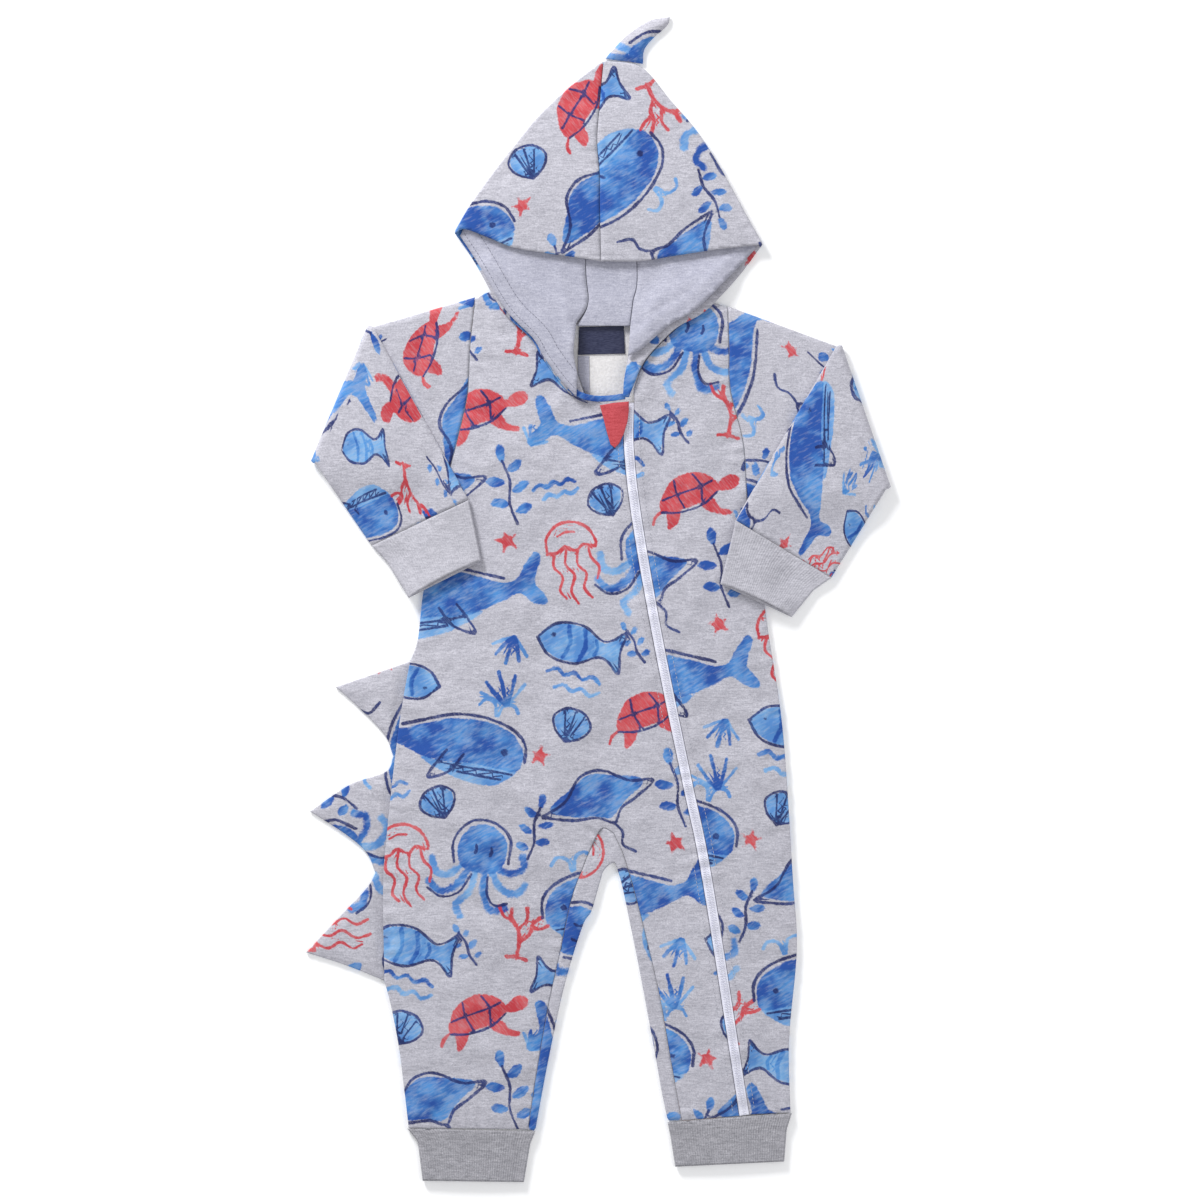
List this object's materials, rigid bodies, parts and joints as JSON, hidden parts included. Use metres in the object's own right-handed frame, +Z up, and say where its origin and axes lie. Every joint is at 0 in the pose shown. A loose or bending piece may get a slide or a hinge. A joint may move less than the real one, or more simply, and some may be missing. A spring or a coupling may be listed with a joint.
{
  "type": "hooded pyjamas",
  "caption": "Toddler one-piece pyjamas with hood, laid flat: slanted front zip, rib cuffs, small horn on the hood and a fin of triangular spikes in the side seam, elbows folded in",
  "frame": {"origin": "middle of the bounding box, on the surface that the garment lies on", "axes": "+Y towards the hood, +X to the wearer's left, +Z up out of the front"},
  "size_m": [0.456, 0.909, 0.0117],
  "materials": {
    "printed_jersey": "brushed heather grey sweatshirt jersey with an all-over print in blue, navy and red, matt",
    "inner_jersey": "cream brushed inside of the jersey, matt",
    "lining": "plain lavender grey single jersey, matt",
    "rib": "heather grey rib knit, matt",
    "zip_tape": "near-white woven zip tape with plastic coil teeth",
    "guard_jersey": "red jersey, matt",
    "label_satin": "dark navy woven satin, blank"
  },
  "bodies": {
    "root": {"back": "inner_jersey", "front_right": "printed_jersey", "front_left": "printed_jersey", "front_zip": "zip_tape", "inner_leg_gusset": "printed_jersey", "side_spikes": "printed_jersey", "sleeve_right": "printed_jersey", "sleeve_left": "printed_jersey", "sleeve_cuff_right": "rib", "sleeve_cuff_left": "rib", "ankle_cuff_right": "rib", "ankle_cuff_left": "rib", "hood_right": "printed_jersey", "hood_left": "printed_jersey", "hood_lining_right": "lining", "hood_lining_left": "lining", "hood_lining_centre": "lining", "hood_horn": "printed_jersey", "zip_guard": "guard_jersey", "neck_label": "label_satin"}
  },
  "joints": []
}
